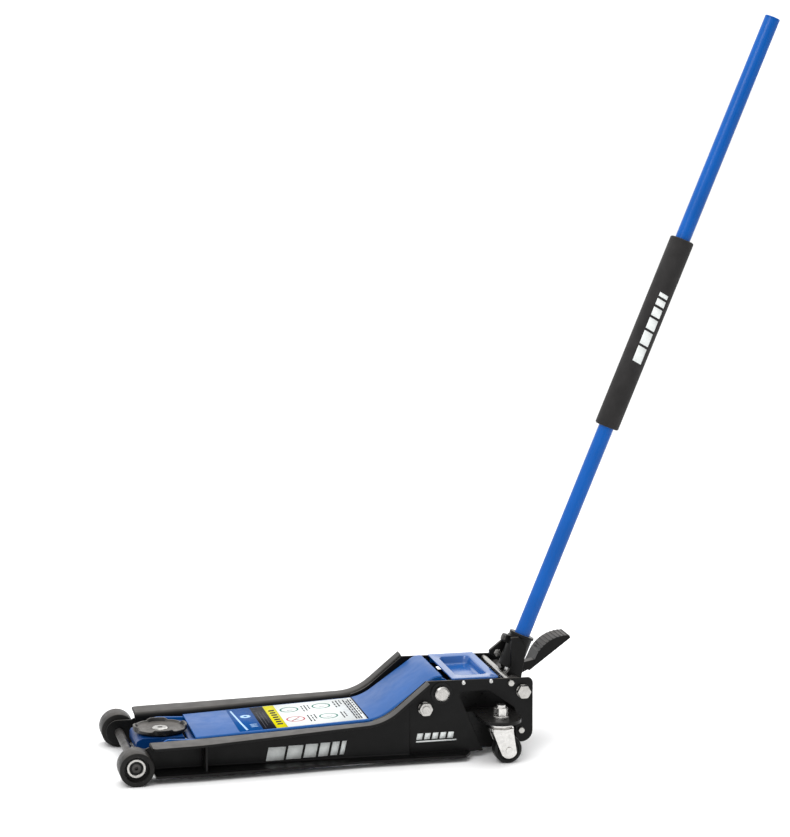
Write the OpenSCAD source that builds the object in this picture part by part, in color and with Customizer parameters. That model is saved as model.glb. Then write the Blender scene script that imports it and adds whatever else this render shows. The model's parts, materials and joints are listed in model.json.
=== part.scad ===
// Low-profile hydraulic trolley jack with a long handle and a foot pedal.
// Work axes: X runs rearward from the front axle, Y to the operator's right,
// Z up from the floor. place() moves the whole jack so that the centre of its
// footprint is the origin.

/* [Frame] */
// Distance from the centre plane to the inner face of a side plate
frame_half = 93; // [90:0.5:96]
// Thickness of the side plates
plate_t = 4.4; // [4:0.1:5]
// Distance from the centre plane to the outer edge of the rail flanges, at the front
flange_half = 147.6; // [146:0.2:149]
// The same distance at the rear
flange_rear = 127; // [124:0.5:130]
// Height of the rear part of the side plates
rear_top = 142.5; // [142:0.25:143]
// X of the rear edge of the side plates
rear_x = 713.6; // [712:0.2:716]

/* [Wheels and casters] */
// Diameter of the front wheels
wheel_d = 60; // [58:0.5:60]
// Width of the front wheels
wheel_w = 45; // [40:0.5:46]
// Distance from the centre plane to the outer face of a front wheel
wheel_out = 153.7; // [152:0.1:156]
// Diameter of the front axle
axle_d = 16; // [14:0.5:17]
// Diameter of the caster wheels
caster_d = 50; // [48:0.5:50]
// X of the caster swivel axes
swivel_x = 644; // [643:0.5:645]
// Distance from the centre plane to the swivel axes
swivel_y = 138; // [138:0.5:140]
// How far the caster wheel trails behind its swivel axis
trail = 11; // [8:0.5:11]

/* [Lift arm] */
// X of the arm's main pivot
pivot_x = 546.2; // [546:0.1:546.5]
// Height of the arm's main pivot
pivot_z = 119.8; // [119.6:0.1:120]
// Distance from the centre plane to the outer face of the arm
arm_half = 80; // [78:0.5:81]
// Thickness of the arm's folded plates
arm_t = 4; // [3.5:0.1:4.5]
// X of the pin that carries the saddle block
carrier_x = 66; // [65:0.5:67]
// Height of the pin that carries the saddle block
carrier_z = 45; // [44:0.5:46]
// Radius from the main pivot to the pin that the ram pushes
heel_r = 44; // [43:0.5:45]
// Full lift angle of the arm
lift_deg = 55; // [40:1:55]

/* [Saddle] */
// X of the saddle's centre
saddle_x = 60.4; // [59:0.2:61]
// Diameter of the saddle
saddle_d = 96; // [90:0.5:98]
// Height of the top of the saddle with the arm down
saddle_top = 68; // [67:0.25:69]

/* [Handle] */
// X of the handle socket's pivot
socket_x = 695; // [694.5:0.1:695.5]
// Height of the handle socket's pivot
socket_z = 115.6; // [115:0.1:116]
// Angle of the handle above the floor
handle_deg = 67.55; // [66:0.05:69]
// Diameter of the handle tube
tube_d = 28; // [26:0.5:28]
// Length of handle above the socket's collar
handle_len = 1195; // [1000:5:1250]
// Start of the foam grip above the collar
grip_from = 408; // [380:1:430]
// Length of the foam grip
grip_len = 362; // [300:1:380]
// Diameter of the foam grip
grip_d = 44; // [38:0.5:46]
// Radius from the socket's pivot to the roller that works the main plunger
roller_r = 16; // [15.8:0.1:16.2]
// Radius from the pedal's pivot to the roller that works its plunger
pedal_r = 26; // [25.5:0.1:26.5]

/* [Hidden] */
$fn = 64;
fit = 0.1;          // diametral running clearance of pins and shafts
collar_x = 718.5;   // centre of the socket's collar
collar_z = 191.9;
cover_x0 = 112;     // front edge of the arm's cover
ramp_deg = 35;      // slope of the rear part of the arm
crest_r = 27.4;     // outer radius of the arm's crest
ram_z = 78.3;       // height of the ram's centre line
pump_z = 100.5;     // height of the main plunger
pedal_z = 91;       // height of the pedal's plunger
block_x = 668;      // rear face of the pump body
pedal_y = 35;       // centre plane of the pedal's lever and plunger
spring_y = 37;      // centre planes of the arm's return springs
stud_x = 516.3;     // rear pivots of the levelling rods
stud_z = 94.2;
low_rod_x = 692.2;  // low tie rod, which also anchors the return springs
low_rod_z = 44.7;
top_rod_x = 672.7;  // high tie rod between tray and handle socket
top_rod_z = 131.6;
shelf_top = 80;     // upper face of the caster shelves
shelf_t = 6;
shelf_r = 36;       // rounded outer end of a caster shelf
heel_rest = lift_deg / 2;
heel_x = pivot_x + heel_r * sin(heel_rest);
heel_z = pivot_z - heel_r * cos(heel_rest);
roller_rest = 17.5; // angle of the socket's roller behind straight down
pedal_rest = 12.5;  // angle of the pedal's roller behind straight down
wheel_r = wheel_d / 2;
wheel_x = swivel_x + trail;
caster_r = caster_d / 2;
web_out = frame_half + plate_t; // outer face of a rear side plate
rail_in = 97;       // inner and outer face of a front channel's web
rail_out = 101.8;
rail_x0 = 28;       // front end of the rail flanges
rail_x1 = 487.8;    // rear end of a front channel's web
taper_x0 = 110;     // between these the rail flanges grow narrower
taper_x1 = 400;
rear_x0 = 420;      // front edge of a rear side plate
rail_bend = [437.5, 78];
ramp_end = [518.5, 145];
climb = 1.4;        // extra height of the flange's section where it climbs
shelf_in = 60;      // inner face of the pocket above a caster shelf
pocket_in = 82;     // inner face of the pocket below a caster shelf
tray_x0 = 567;
tray_x1 = 651;
tray_top = 144;
tray_edge = 92.8;   // outer face of the tray's skirts
tray_screw_x = [586.4, 636.6];
tray_screw_z = 136.4;
arm_corner = [435.6, 76.1];
cover_deg = 2.52;   // slope of the front part of the cover
half_bend = (ramp_deg - cover_deg) / 2;
crest_end = 78;     // direction from the main pivot to the cover's rear edge
arm_in = arm_half - 6;
level_dx = stud_x - pivot_x; // offset between the arm's and the rods' pivots
level_dz = stud_z - pivot_z;
eye_x = carrier_x + level_dx;
eye_z = carrier_z + level_dz;
roller_x = socket_x + roller_r * sin(roller_rest);
roller_z = socket_z - roller_r * cos(roller_rest);
pedal_roller_x = socket_x + pedal_r * sin(pedal_rest);
pedal_roller_z = socket_z - pedal_r * cos(pedal_rest);
pump_end = roller_x - 8.6;
pedal_end = pedal_roller_x - 8.4;
cheek_in = 17;      // faces of the socket's cheeks
cheek_out = 25;
stop_x = socket_x - 16.4;
stop_z = socket_z + 43.6;
pad_in = 26;        // sides of the pedal's tread
pad_out = 76;
split = grip_from + grip_len / 2; // joint between the two handle tubes
tip_x = collar_x + handle_len * cos(handle_deg) + tube_d / 2 * sin(handle_deg);
centre_x = (tip_x - wheel_r) / 2;

// ---- helpers ----

function unit(v) = v / norm(v);

// Arc of points about [x, z] from angle a0 to a1
function arc(x, z, r, a0, a1, n = 12) =
    [for (i = [0:n]) [x + r * cos(a0 + (a1 - a0) * i / n), z + r * sin(a0 + (a1 - a0) * i / n)]];

// Points that round the corner b, between a and c, with radius r
function round_corner(a, b, c, r, n = 10) =
    r == 0 ? [b] :
    let (u = unit(a - b), v = unit(c - b), half = acos(u * v) / 2)
    let (centre = b + unit(u + v) * r / sin(half), p = b + u * r / tan(half) - centre)
    let (q = b + v * r / tan(half) - centre, a0 = atan2(p.y, p.x), turn = atan2(q.y, q.x) - a0)
    let (sweep = turn > 180 ? turn - 360 : turn < -180 ? turn + 360 : turn)
    [for (i = [0:n]) centre + r * [cos(a0 + sweep * i / n), sin(a0 + sweep * i / n)]];

function xy(p) = [p[0], p[1]];

// Closed outline from [x, z, corner radius] rows
function rounded(rows) =
    let (n = len(rows))
    [for (i = [0:n - 1])
        for (p = round_corner(xy(rows[(i + n - 1) % n]), xy(rows[i]), xy(rows[(i + 1) % n]), rows[i][2]))
            p];

module place() { translate([-centre_x, 0, 0]) children(); }

// An XZ outline drawn as a plate between two Y values
module plate(y0, y1) { rotate([90, 0, 0]) translate([0, 0, -y1]) linear_extrude(y1 - y0) children(); }

// Cylinder along Y
module pin(x, z, r, y0, y1, sides = 64) {
    translate([x, y1, z]) rotate([90, 0, 0]) cylinder(h = y1 - y0, r = r, $fn = sides);
}

// Cylinder along X
module bar(x0, x1, y, z, r, sides = 64) {
    translate([x0, y, z]) rotate([0, 90, 0]) cylinder(h = x1 - x0, r = r, $fn = sides);
}

// Hexagonal prism along Y, measured across flats
module hex_y(x, z, flats, y0, y1) { pin(x, z, flats / sqrt(3), y0, y1, 6); }

module box(x0, x1, y0, y1, z0, z1) { translate([x0, y0, z0]) cube([x1 - x0, y1 - y0, z1 - z0]); }

module both_sides() {
    children();
    mirror([0, 1, 0]) children();
}

// Draws its children, which are made for the right, on the side that sign gives
module on_side(sign) {
    if (sign > 0) children();
    else mirror([0, 1, 0]) children();
}

// Local frame of the handle: Z runs up the handle from the socket's collar
module along_handle() { translate([collar_x, 0, collar_z]) rotate([0, 90 - handle_deg, 0]) children(); }

// ---- frame ----

// Upper edge of a rail, from its front end to the end of the ramp
rail_top = concat(
    [[rail_x0, 63.4], [130, 65.6]],
    round_corner([130, 65.6], rail_bend, ramp_end, 95),
    [ramp_end]);

// Height of a rail flange's section at x
function flange_t(x) = plate_t + climb * min(1, max(0, (x - 410) / 60));

module pivot_holes() {
    translate([0, 30]) circle(d = axle_d + fit);
    translate([pivot_x, pivot_z]) circle(d = 24 + fit);
    translate([stud_x, stud_z]) circle(d = 16 + fit);
    translate([socket_x, socket_z]) circle(d = 16 + fit);
    for (p = [[low_rod_x, low_rod_z], [top_rod_x, top_rod_z]]) translate(p) circle(d = 6 + fit);
    for (x = tray_screw_x) translate([x, tray_screw_z]) circle(d = 5 + fit);
}

// Web of the folded channel that forms the front of a side
module front_web() {
    top = [for (p = rail_top) if (p.x < rail_x1) p - [0, 1]];
    polygon(concat(
        rounded([[22, 52, 0], [-23, 52, 21], [-23, 8, 21], [30, 9, 0], [36, 12.4, 0],
                 [rail_x1, 10.8, 0], [rail_x1, 119, 0]]),
        [for (i = [len(top) - 1:-1:0]) top[i]]));
}

// Flat plate that forms the rear of a side, with the opening beside the caster
module rear_web() {
    climb_line = [for (p = rail_top) if (p.x > rear_x0 + 1) [p.x, min(p.y - 2, rear_top)]];
    difference() {
        polygon(concat(
            rounded([[rear_x0, 72, 0], [rear_x0, 11.2, 0], [596, 10.6, 0], [640, 12, 0], [690, 23, 0],
                     [rear_x, 23, 20], [rear_x, rear_top, 10]]),
            [for (i = [len(climb_line) - 1:-1:0]) climb_line[i]]));
        polygon(rounded([[627, 0, 0], [576.5, 120, 6], [633, 120, 14], [681, 85, 8], [683, 0, 0]]));
    }
}

// Outline of a rail flange seen from above
module flange_plan(x0, x1, front_r) {
    linear_extrude(200) polygon(concat(
        [[x1, flange_rear], [x1, rail_in], [x0, rail_in]],
        round_corner([x0, rail_in], [x0, flange_half], [taper_x0, flange_half], front_r),
        [[taper_x0, flange_half], [taper_x1, flange_rear]]));
}

module top_flange() {
    intersection() {
        plate(rail_in, flange_half + 1)
            polygon(concat(rail_top, [for (i = [len(rail_top) - 1:-1:0])
                rail_top[i] - [0, flange_t(rail_top[i].x)]]));
        flange_plan(rail_x0 - 1, ramp_end.x + 1, 9);
    }
}

module bottom_flange() {
    difference() {
        intersection() {
            plate(rail_in, flange_half + 1)
                polygon([[33, 10.5], [540, 8.5], [597, 8.5], [597, 12.9], [540, 12.9], [33, 14.9]]);
            flange_plan(32, 598, 9);
        }
        translate([585, flange_rear, 0]) rotate(-60) cube([60, 60, 40]);
    }
}

module side_plate(sign) {
    on_side(sign) color("black") place() difference() {
        union() {
            plate(frame_half, web_out) rear_web();
            plate(rail_in, rail_out) front_web();
            top_flange();
            bottom_flange();
            box(120, 124, rail_in + 0.5, 138, 12.5, 62.5);
        }
        plate(frame_half - 1, rail_out + 1) pivot_holes();
    }
}
module side_plate_left() { side_plate(-1); }
module side_plate_right() { side_plate(1); }

// Welded pocket that carries a caster: shelf, walls below and above it, rear wall
module caster_bracket(sign) {
    on_side(sign) color("black") place() difference() {
        union() {
            box(swivel_x - shelf_r, 681, shelf_in, swivel_y, shelf_top - shelf_t, shelf_top);
            translate([swivel_x, swivel_y, shelf_top - shelf_t]) cylinder(h = shelf_t, r = shelf_r);
            box(590, 685, pocket_in, pocket_in + 4, 14, shelf_top - 1);
            box(576, 685, shelf_in, shelf_in + 4, shelf_top - shelf_t, 98);
            box(576, 680, shelf_in, shelf_in + 4, 97, 122);
            box(576, 580, shelf_in, frame_half, shelf_top - shelf_t, 122);
            box(576, swivel_x - shelf_r + 1, shelf_in, pocket_in + 4, shelf_top - shelf_t, shelf_top);
            box(681, 685, pocket_in, frame_half, 30, shelf_top);
            box(681, 685, shelf_in, frame_half, shelf_top - shelf_t, 98);
        }
        translate([swivel_x, swivel_y, 0]) cylinder(h = 200, d = 16 + fit);
    }
}
module caster_bracket_left() { caster_bracket(-1); }
module caster_bracket_right() { caster_bracket(1); }

module front_cross_plate() {
    color("black") place() {
        box(128, 188, -rail_in, rail_in, 12, 16);
        box(128, 132, -rail_in, rail_in, 15, 24);
    }
}

module rear_cross_plate() {
    color("black") place() {
        box(700, 704, -frame_half, frame_half, 24, 70);
        box(400, 470, -frame_half, frame_half, 15, 19);
        box(650, 704, -pocket_in, pocket_in, 24, 28);
    }
}

module front_axle() {
    color("dimgray") place() difference() {
        pin(0, 30, axle_d / 2, -142, 142);
        both_sides() pin(0, 30, 3, 136, 143);
    }
}

// Spring clips that hold the front wheels on the axle, and the grease nipples
module axle_retainers() {
    color("silver") place() {
        both_sides() difference() {
            pin(0, 30, 11, 140.2, 141.6);
            pin(0, 30, axle_d / 2 + fit / 2, 140, 142);
        }
        for (y = [-105.2, 105.2]) translate([0, y, 30 + axle_d / 2]) {
            cylinder(h = 3, r = 3, $fn = 6);
            translate([0, 0, 3]) cylinder(h = 2, r = 1.6);
            translate([0, 0, 5.6]) sphere(1.9);
        }
    }
}

module tie_rods() {
    color("silver") place() {
        difference() {
            pin(top_rod_x, top_rod_z, 6, -frame_half, frame_half);
            both_sides() pin(top_rod_x, top_rod_z, 3 + fit / 2, 73, frame_half + 1);
        }
        difference() {
            pin(low_rod_x, low_rod_z, 5.5, -frame_half, frame_half);
            both_sides() pin(low_rod_x, low_rod_z, 3 + fit / 2, 73, frame_half + 1);
        }
    }
}

// Hexagon head screw along Y, with a washer face
module hex_screw(x, z, shank_r, flats, head_h, y_in) {
    seat = web_out + 1;
    pin(x, z, shank_r, y_in, web_out + 0.01);
    pin(x, z, flats / 2 * 1.08, web_out, seat);
    intersection() {
        hex_y(x, z, flats, seat, seat + head_h);
        translate([x, seat, z]) rotate([-90, 0, 0])
            cylinder(h = head_h, r1 = flats / sqrt(3) + head_h * 1.2, r2 = flats / sqrt(3) - 0.8);
    }
}

module tie_bolts() {
    color("silver") place() both_sides() {
        hex_screw(top_rod_x, top_rod_z, 3, 10, 4.2, 75);
        hex_screw(low_rod_x, low_rod_z, 3, 10, 4.2, 75);
    }
}

// Tray over the hydraulic unit: a flat lid with a rounded recess and side skirts
module tray_cover() {
    color("royalblue") place() difference() {
        union() {
            difference() {
                translate([0, 0, tray_top - 3]) linear_extrude(3)
                    polygon(rounded([[tray_x0, -tray_edge, 1], [tray_x1, -tray_edge, 1],
                                     [tray_x1, tray_edge, 1], [tray_x0, tray_edge, 1]]));
                translate([0, 0, 100]) linear_extrude(100) tray_outline(0);
            }
            difference() {
                translate([0, 0, tray_top - 17]) linear_extrude(16) tray_outline(-2.5);
                translate([0, 0, tray_top - 15]) linear_extrude(20) tray_outline(0);
            }
            both_sides() box(tray_x0 + 4, tray_x1 - 4, tray_edge - 3, tray_edge, 128, tray_top - 2);
            both_sides() for (x = tray_screw_x) pin(x, tray_screw_z, 5.5, 86, 91);
        }
        for (x = tray_screw_x) pin(x, tray_screw_z, 2.5 + fit / 2, -100, 100);
    }
}

module tray_outline(inset) {
    x0 = 581 + inset;
    x1 = 637 - inset;
    y = 70 - inset;
    polygon(rounded([[x0, -y, 12 - inset], [x1, -y, 12 - inset], [x1, y, 12 - inset], [x0, y, 12 - inset]]));
}

module tray_screws() {
    color("silver") place() both_sides() for (x = tray_screw_x) {
        difference() {
            union() {
                pin(x, tray_screw_z, 2.5, 84, web_out + 0.01);
                translate([x, web_out, tray_screw_z]) rotate([-90, 0, 0])
                    cylinder(h = 2.4, r1 = 4.1, r2 = 3.1);
            }
            hex_y(x, tray_screw_z, 3, web_out + 1, web_out + 3);
        }
    }
}

// ---- hydraulic unit ----

module pump_body() {
    color("gray") place() difference() {
        union() {
            box(643, block_x, -29, 29, 42, 114);
            box(620, block_x, -29, 29, 28, 47.5);
            bar(643, block_x, pedal_y, pedal_z, 12);
        }
        for (p = [[0, pump_z], [pedal_y, pedal_z]]) {
            bar(644, block_x + 1, p[0], p[1], 7 + fit / 2);
            bar(block_x - 6, block_x + 1, p[0], p[1], 10.5);
        }
        bar(650, block_x + 1, -14, 60, 5 + fit / 2);
    }
}

// Ram cylinder inside the oil tank
module hydraulic_reservoir() {
    color("dimgray") place() {
        difference() {
            bar(584, 643, 0, ram_z, 20);
            bar(590, 644, 0, ram_z, 16);
            bar(583, 591, 0, ram_z, 11 + fit / 2);
        }
        difference() {
            bar(588, 643, 0, ram_z, 30);
            bar(591, 644, 0, ram_z, 27);
            bar(587, 592, 0, ram_z, 19.9);
        }
    }
}

module filler_plug() {
    color("silver") place() translate([612, 0, ram_z + 30]) {
        cylinder(h = 4, r = 8, $fn = 6);
        translate([0, 0, 4]) cylinder(h = 1.5, r = 5);
    }
}

module ram_rod() {
    color("silver") place() difference() {
        union() {
            bar(heel_x + 12, 632, 0, ram_z, 11);
            bar(631, 643 - 0.3, 0, ram_z, 16 - fit / 2);
            box(heel_x - 12, heel_x + 15, -14, 14, ram_z - 17, ram_z + 17);
        }
        // Upright slot in which the heel pin rises and falls
        plate(-15, 15) translate([heel_x, 0]) {
            for (z = [72, 84]) translate([0, z]) circle(7.8);
            translate([-7.8, 72]) square([15.6, 12]);
        }
    }
}

// The main plunger meets the socket's roller, the other one the pedal's roller
module plunger(y, z, end_x) {
    color("silver") place() {
        bar(658.5, end_x - 3, y, z, 7);
        bar(end_x - 4, end_x, y, z, 9.6);
    }
}
module pump_plunger() { plunger(0, pump_z, pump_end); }
module pedal_plunger() { plunger(pedal_y, pedal_z, pedal_end); }

// Coil springs, each drawn as the sleeve that its coils fill
module plunger_springs() {
    seat_x = block_x - 5.9;
    color("silver") place() for (p = [[0, pump_z, pump_end], [pedal_y, pedal_z, pedal_end]]) difference() {
        bar(seat_x, p[2] - 4.1, p[0], p[1], 9.5);
        bar(seat_x - 1, p[2], p[0], p[1], 7.7);
    }
}

// Tension springs from the arm's heel to the low tie rod
module arm_return_springs() {
    dx = low_rod_x - heel_x;
    dz = heel_z - low_rod_z;
    length = norm([dx, dz]);
    color("silver") place() both_sides()
        translate([heel_x, spring_y, heel_z]) rotate([0, 90 + atan2(dz, dx), 0]) difference() {
            union() {
                translate([0, 0, 14]) cylinder(h = length - 28, r = 6);
                translate([0, 0, 7.6]) cylinder(h = 8, r = 1.4);
                translate([0, 0, length - 15]) cylinder(h = 9, r = 1.4);
            }
            translate([0, 0, 15.5]) cylinder(h = length - 31, r = 4);
        }
}

module release_valve() {
    color("silver") place() {
        bar(651, 676, -14, 60, 5);
        bar(block_x + 1, block_x + 6, -14, 60, 8);
        difference() {
            bar(675, 690, -14, 60, 7);
            box(681, 691, -17, -11, 50, 70);
        }
    }
}

// ---- pivots fixed in the frame ----

module arm_pivot_shaft() {
    color("silver") place() {
        pin(pivot_x, pivot_z, 12, -web_out - 1, web_out + 1);
        both_sides() translate([pivot_x, web_out + 2.5, pivot_z]) rotate([-90, 0, 0]) {
            cylinder(h = 6, r = 13.25);
            translate([0, 0, 6]) cylinder(h = 2, r1 = 13.25, r2 = 10.5);
            translate([0, 0, -1.6]) cylinder(h = 1.7, r = 12);
        }
    }
}

module arm_pivot_washers() {
    color("dimgray") place() both_sides() difference() {
        pin(pivot_x, pivot_z, 19.5, web_out, web_out + 2.5);
        pin(pivot_x, pivot_z, 12 + fit / 2, web_out - 1, web_out + 3);
    }
}

// Washer and chamfered nut on the outside of a side plate
module pivot_nut(x, z) {
    pin(x, z, 12.3, web_out, web_out + 2);
    intersection() {
        hex_y(x, z, 22, web_out + 2, web_out + 12);
        translate([x, web_out + 2, z]) rotate([-90, 0, 0]) cylinder(h = 10, r1 = 23, r2 = 11.6);
    }
}

// Studs at the rear ends of the levelling rods, each with its nut outside
module levelling_studs() {
    color("silver") place() both_sides() {
        pin(stud_x, stud_z, 6, 56, frame_half - 2);
        pin(stud_x, stud_z, 11, frame_half - 5, frame_half);
        pin(stud_x, stud_z, 8, frame_half - 1, web_out + 1);
        pin(stud_x, stud_z, 7, web_out, web_out + 14);
        pivot_nut(stud_x, stud_z);
    }
}

module socket_pivot_bolts() {
    color("silver") place() both_sides() {
        pin(socket_x, socket_z, 8, cheek_in, web_out + 1);
        pivot_nut(socket_x, socket_z);
    }
}

module pivot_spacers() {
    color("dimgray") place() for (span = [[-frame_half, -25.6], [44.6, frame_half]]) difference() {
        pin(socket_x, socket_z, 12, span[0], span[1]);
        pin(socket_x, socket_z, 8 + fit / 2, -100, 100);
    }
}

// ---- lift arm ----

// Upper surface of the arm's cover, moved inward by inset
function cover_path(inset) =
    let (shift = inset / cos(half_bend), lean = cover_deg + half_bend)
    let (corner = arm_corner + shift * [sin(lean), -cos(lean)])
    let (start = [cover_x0, 61.8 - inset])
    let (crest = arc(pivot_x, pivot_z, crest_r - inset, 125, 125, 1)[0])
    concat([start], round_corner(start, corner, crest, 85 + inset),
           arc(pivot_x, pivot_z, crest_r - inset, 125, crest_end, 10));

module arm_cover() {
    outer = cover_path(0);
    inner = cover_path(arm_t);
    color("royalblue") place() plate(-arm_half, arm_half)
        polygon(concat(outer, [for (i = [len(inner) - 1:-1:0]) inner[i]]));
}

// Side plate of the arm, from the saddle block's pin to the hub
module arm_side(sign) {
    top = cover_path(arm_t);
    on_side(sign) color("royalblue") place() difference() {
        plate(arm_in, arm_half)
            polygon(concat(top, arc(pivot_x, pivot_z, crest_r - arm_t, crest_end, -155, 20),
                           [[503, 96], [480, 74], [452, 52]], arc(405, 62, 30, -45, -84, 5),
                           [[90, 28]], arc(carrier_x, carrier_z, 15, -60, -268, 14)));
        pin(pivot_x, pivot_z, 19, 70, 90);
        pin(carrier_x, carrier_z, 7 + fit / 2, 70, 90);
    }
}
module arm_side_left() { arm_side(-1); }
module arm_side_right() { arm_side(1); }

// Stiffeners welded between the arm's sides under the cover, and the deck in front of it
module arm_cross_plates() {
    color("royalblue") place() {
        for (x = [150, 250, 350]) box(x, x + 40, -arm_in, arm_in, 51.5, 55.5);
        box(102, 151, -arm_in, arm_in, 50, 54);
        box(150, 154, -50, 50, 34, 52);
        box(386, 390, -50, 50, 36, 55.5);
    }
}

module arm_pivot_tube() {
    color("royalblue") place() difference() {
        pin(pivot_x, pivot_z, 19, -arm_half - 5, arm_half + 5);
        pin(pivot_x, pivot_z, 12 + fit / 2, -100, 100);
    }
}

// Two rocker plates that the ram pushes to raise the arm
module arm_heel_plates() {
    color("royalblue") place() both_sides() difference() {
        plate(17, 25) {
            polygon([[pivot_x - 23, pivot_z], [heel_x - 12, heel_z], [heel_x + 10, heel_z - 5],
                     [pivot_x + 23, pivot_z]]);
            translate([heel_x, heel_z]) circle(12);
            translate([pivot_x, pivot_z]) circle(23);
        }
        pin(pivot_x, pivot_z, 19, -100, 100);
        pin(heel_x, heel_z, 7 + fit / 2, -100, 100);
    }
}

module heel_pin() {
    color("silver") place() {
        pin(heel_x, heel_z, 7, -44, 44);
        both_sides() pin(heel_x, heel_z, 9, 42.5, 44.5);
    }
}

module carrier_pin() {
    color("silver") place() {
        pin(carrier_x, carrier_z, 7, -84, 84);
        both_sides() pin(carrier_x, carrier_z, 9.5, 81, 84);
    }
}

// Bent rods that keep the saddle level
module levelling_rods() {
    route = [[eye_x, eye_z], [120, 34], [395, 46], [462, 66], [stud_x, stud_z]];
    color("dimgray") place() both_sides() difference() {
        union() {
            for (i = [0:len(route) - 2]) plate(58, 66) {
                along = unit(route[i + 1] - route[i]);
                side = 5 * [-along.y, along.x];
                polygon([route[i] + side, route[i + 1] + side, route[i + 1] - side, route[i] - side]);
                translate(route[i]) circle(5);
            }
            pin(eye_x, eye_z, 9, 57, 67);
            pin(stud_x, stud_z, 11, 57, 67);
        }
        pin(eye_x, eye_z, 5 + fit / 2, 50, 70);
        pin(stud_x, stud_z, 6 + fit / 2, 50, 70);
    }
}

// ---- saddle ----

module saddle_carrier() {
    color("royalblue") place() difference() {
        union() {
            plate(-46, 46)
                polygon(rounded([[12, 32, 4], [12, 50, 8], [24, 55.5, 6], [98, 55.5, 4], [98, 42, 12],
                                 [80, 30, 12], [30, 30, 0]]));
            both_sides() plate(30, 46) {
                translate([eye_x, eye_z]) circle(9);
                polygon([[eye_x - 9, eye_z], [eye_x - 9, 34], [eye_x + 25, 34], [eye_x + 8, eye_z - 4]]);
            }
        }
        pin(carrier_x, carrier_z, 7 + fit / 2, -100, 100);
        pin(eye_x, eye_z, 5 + fit / 2, -100, 100);
        translate([saddle_x, 0, 53.2]) cylinder(h = 10, r = 15 + fit / 2);
    }
}

module levelling_pin() {
    color("silver") place() {
        pin(eye_x, eye_z, 5, -70, 70);
        both_sides() pin(eye_x, eye_z, 8, 68, 70);
    }
}

// Cast cup with a notched rim in eight parts
module saddle() {
    r = saddle_d / 2;
    floor_z = 61;
    color("dimgray") place() translate([saddle_x, 0, 0]) difference() {
        union() {
            intersection() {
                translate([0, 0, 56]) cylinder(h = saddle_top - 56, r = r);
                translate([0, 0, 50]) rotate(22.5) cylinder(h = 30, r = r * 1.045, $fn = 8);
            }
            translate([0, 0, 53.4]) cylinder(h = 3, r = 15);
        }
        translate([0, 0, floor_z]) cylinder(h = 20, r = r - 8);
        for (a = [0:90:270]) rotate(a + 45) translate([r - 12, -7, floor_z + 3]) cube([20, 14, 20]);
        for (a = [22.5:45:337.5]) rotate(a) translate([r + 1, 0, 50]) cylinder(h = 30, r = 4.5);
        translate([0, 0, floor_z - 2.2]) cylinder(h = 10, r = 14.6);
        cylinder(h = 100, d = 12 + fit);
    }
}

module saddle_screw() {
    color("silver") place() translate([saddle_x, 0, 0]) difference() {
        union() {
            translate([0, 0, 55.6]) cylinder(h = 4, r = 6);
            translate([0, 0, 58.9]) cylinder(h = 2.2, r = 14.2);
            translate([0, 0, 61.1]) cylinder(h = 1.4, r1 = 14.2, r2 = 12.6);
        }
        translate([0, 0, 59.6]) cylinder(h = 10, r = 5, $fn = 6);
    }
}

// ---- wheels ----

module front_wheel(sign) {
    inner = wheel_out - wheel_w;
    on_side(sign) color("dimgray") place() difference() {
        translate([0, inner, 30]) rotate([-90, 0, 0]) rotate_extrude()
            polygon([[axle_d / 2 + fit / 2, 0], [wheel_r - 2.5, 0], [wheel_r - 0.7, 0.7], [wheel_r, 2.5],
                     [wheel_r, wheel_w - 2.5], [wheel_r - 0.7, wheel_w - 0.7], [wheel_r - 2.5, wheel_w],
                     [22, wheel_w], [21, wheel_w - 14], [axle_d / 2 + fit / 2, wheel_w - 14]]);
    }
}
module front_wheel_left() { front_wheel(-1); }
module front_wheel_right() { front_wheel(1); }

// Bright ring pressed into the face of a front wheel
module hub_ring(sign) {
    on_side(sign) color("silver") place() translate([0, wheel_out - 14, 30]) rotate([-90, 0, 0])
        rotate_extrude() polygon([[11.5, 0.05], [17, 0.05], [17, 2], [16, 3], [12.5, 3], [11.5, 2]]);
}
module hub_ring_left() { hub_ring(-1); }
module hub_ring_right() { hub_ring(1); }

// Stud, collar and tall nut that hold a caster under its shelf
module caster_studs() {
    color("silver") place() both_sides() translate([swivel_x, swivel_y, 0]) {
        translate([0, 0, 52]) cylinder(h = 52, r = 8);
        translate([0, 0, shelf_top]) cylinder(h = 4, r = 14);
        translate([0, 0, shelf_top + 4]) cylinder(h = 15, r = 13, $fn = 6);
        translate([0, 0, 70]) difference() {
            cylinder(h = shelf_top - shelf_t - 70, r = 25);
            translate([0, 0, -1]) cylinder(h = 8, r = 7.9);
        }
        translate([0, 0, 52]) cylinder(h = 3, r = 11);
    }
}

module fork_leg(y0, y1) {
    plate(y0, y1)
        polygon(concat([[swivel_x - 18, 64], [swivel_x - 18, 58]], arc(wheel_x, caster_r, 15, 205, 340, 14),
                       [[swivel_x + 19, 58], [swivel_x + 19, 64]]));
}

module caster_fork(sign) {
    on_side(sign) color("silver") place() difference() {
        union() {
            fork_leg(swivel_y - 17.5, swivel_y - 15);
            fork_leg(swivel_y + 15, swivel_y + 17.5);
            translate([swivel_x, swivel_y, 0]) {
                translate([0, 0, 59]) cylinder(h = 5, r = 23);
                translate([0, 0, 64]) cylinder(h = 3, r1 = 23, r2 = 20);
                translate([0, 0, 67]) cylinder(h = 2.6, r = 20);
            }
        }
        translate([swivel_x, swivel_y, 0]) cylinder(h = 100, r = 8 + fit / 2);
        pin(wheel_x, caster_r, 4 + fit / 2, 0, 200);
    }
}
module caster_fork_left() { caster_fork(-1); }
module caster_fork_right() { caster_fork(1); }

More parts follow.
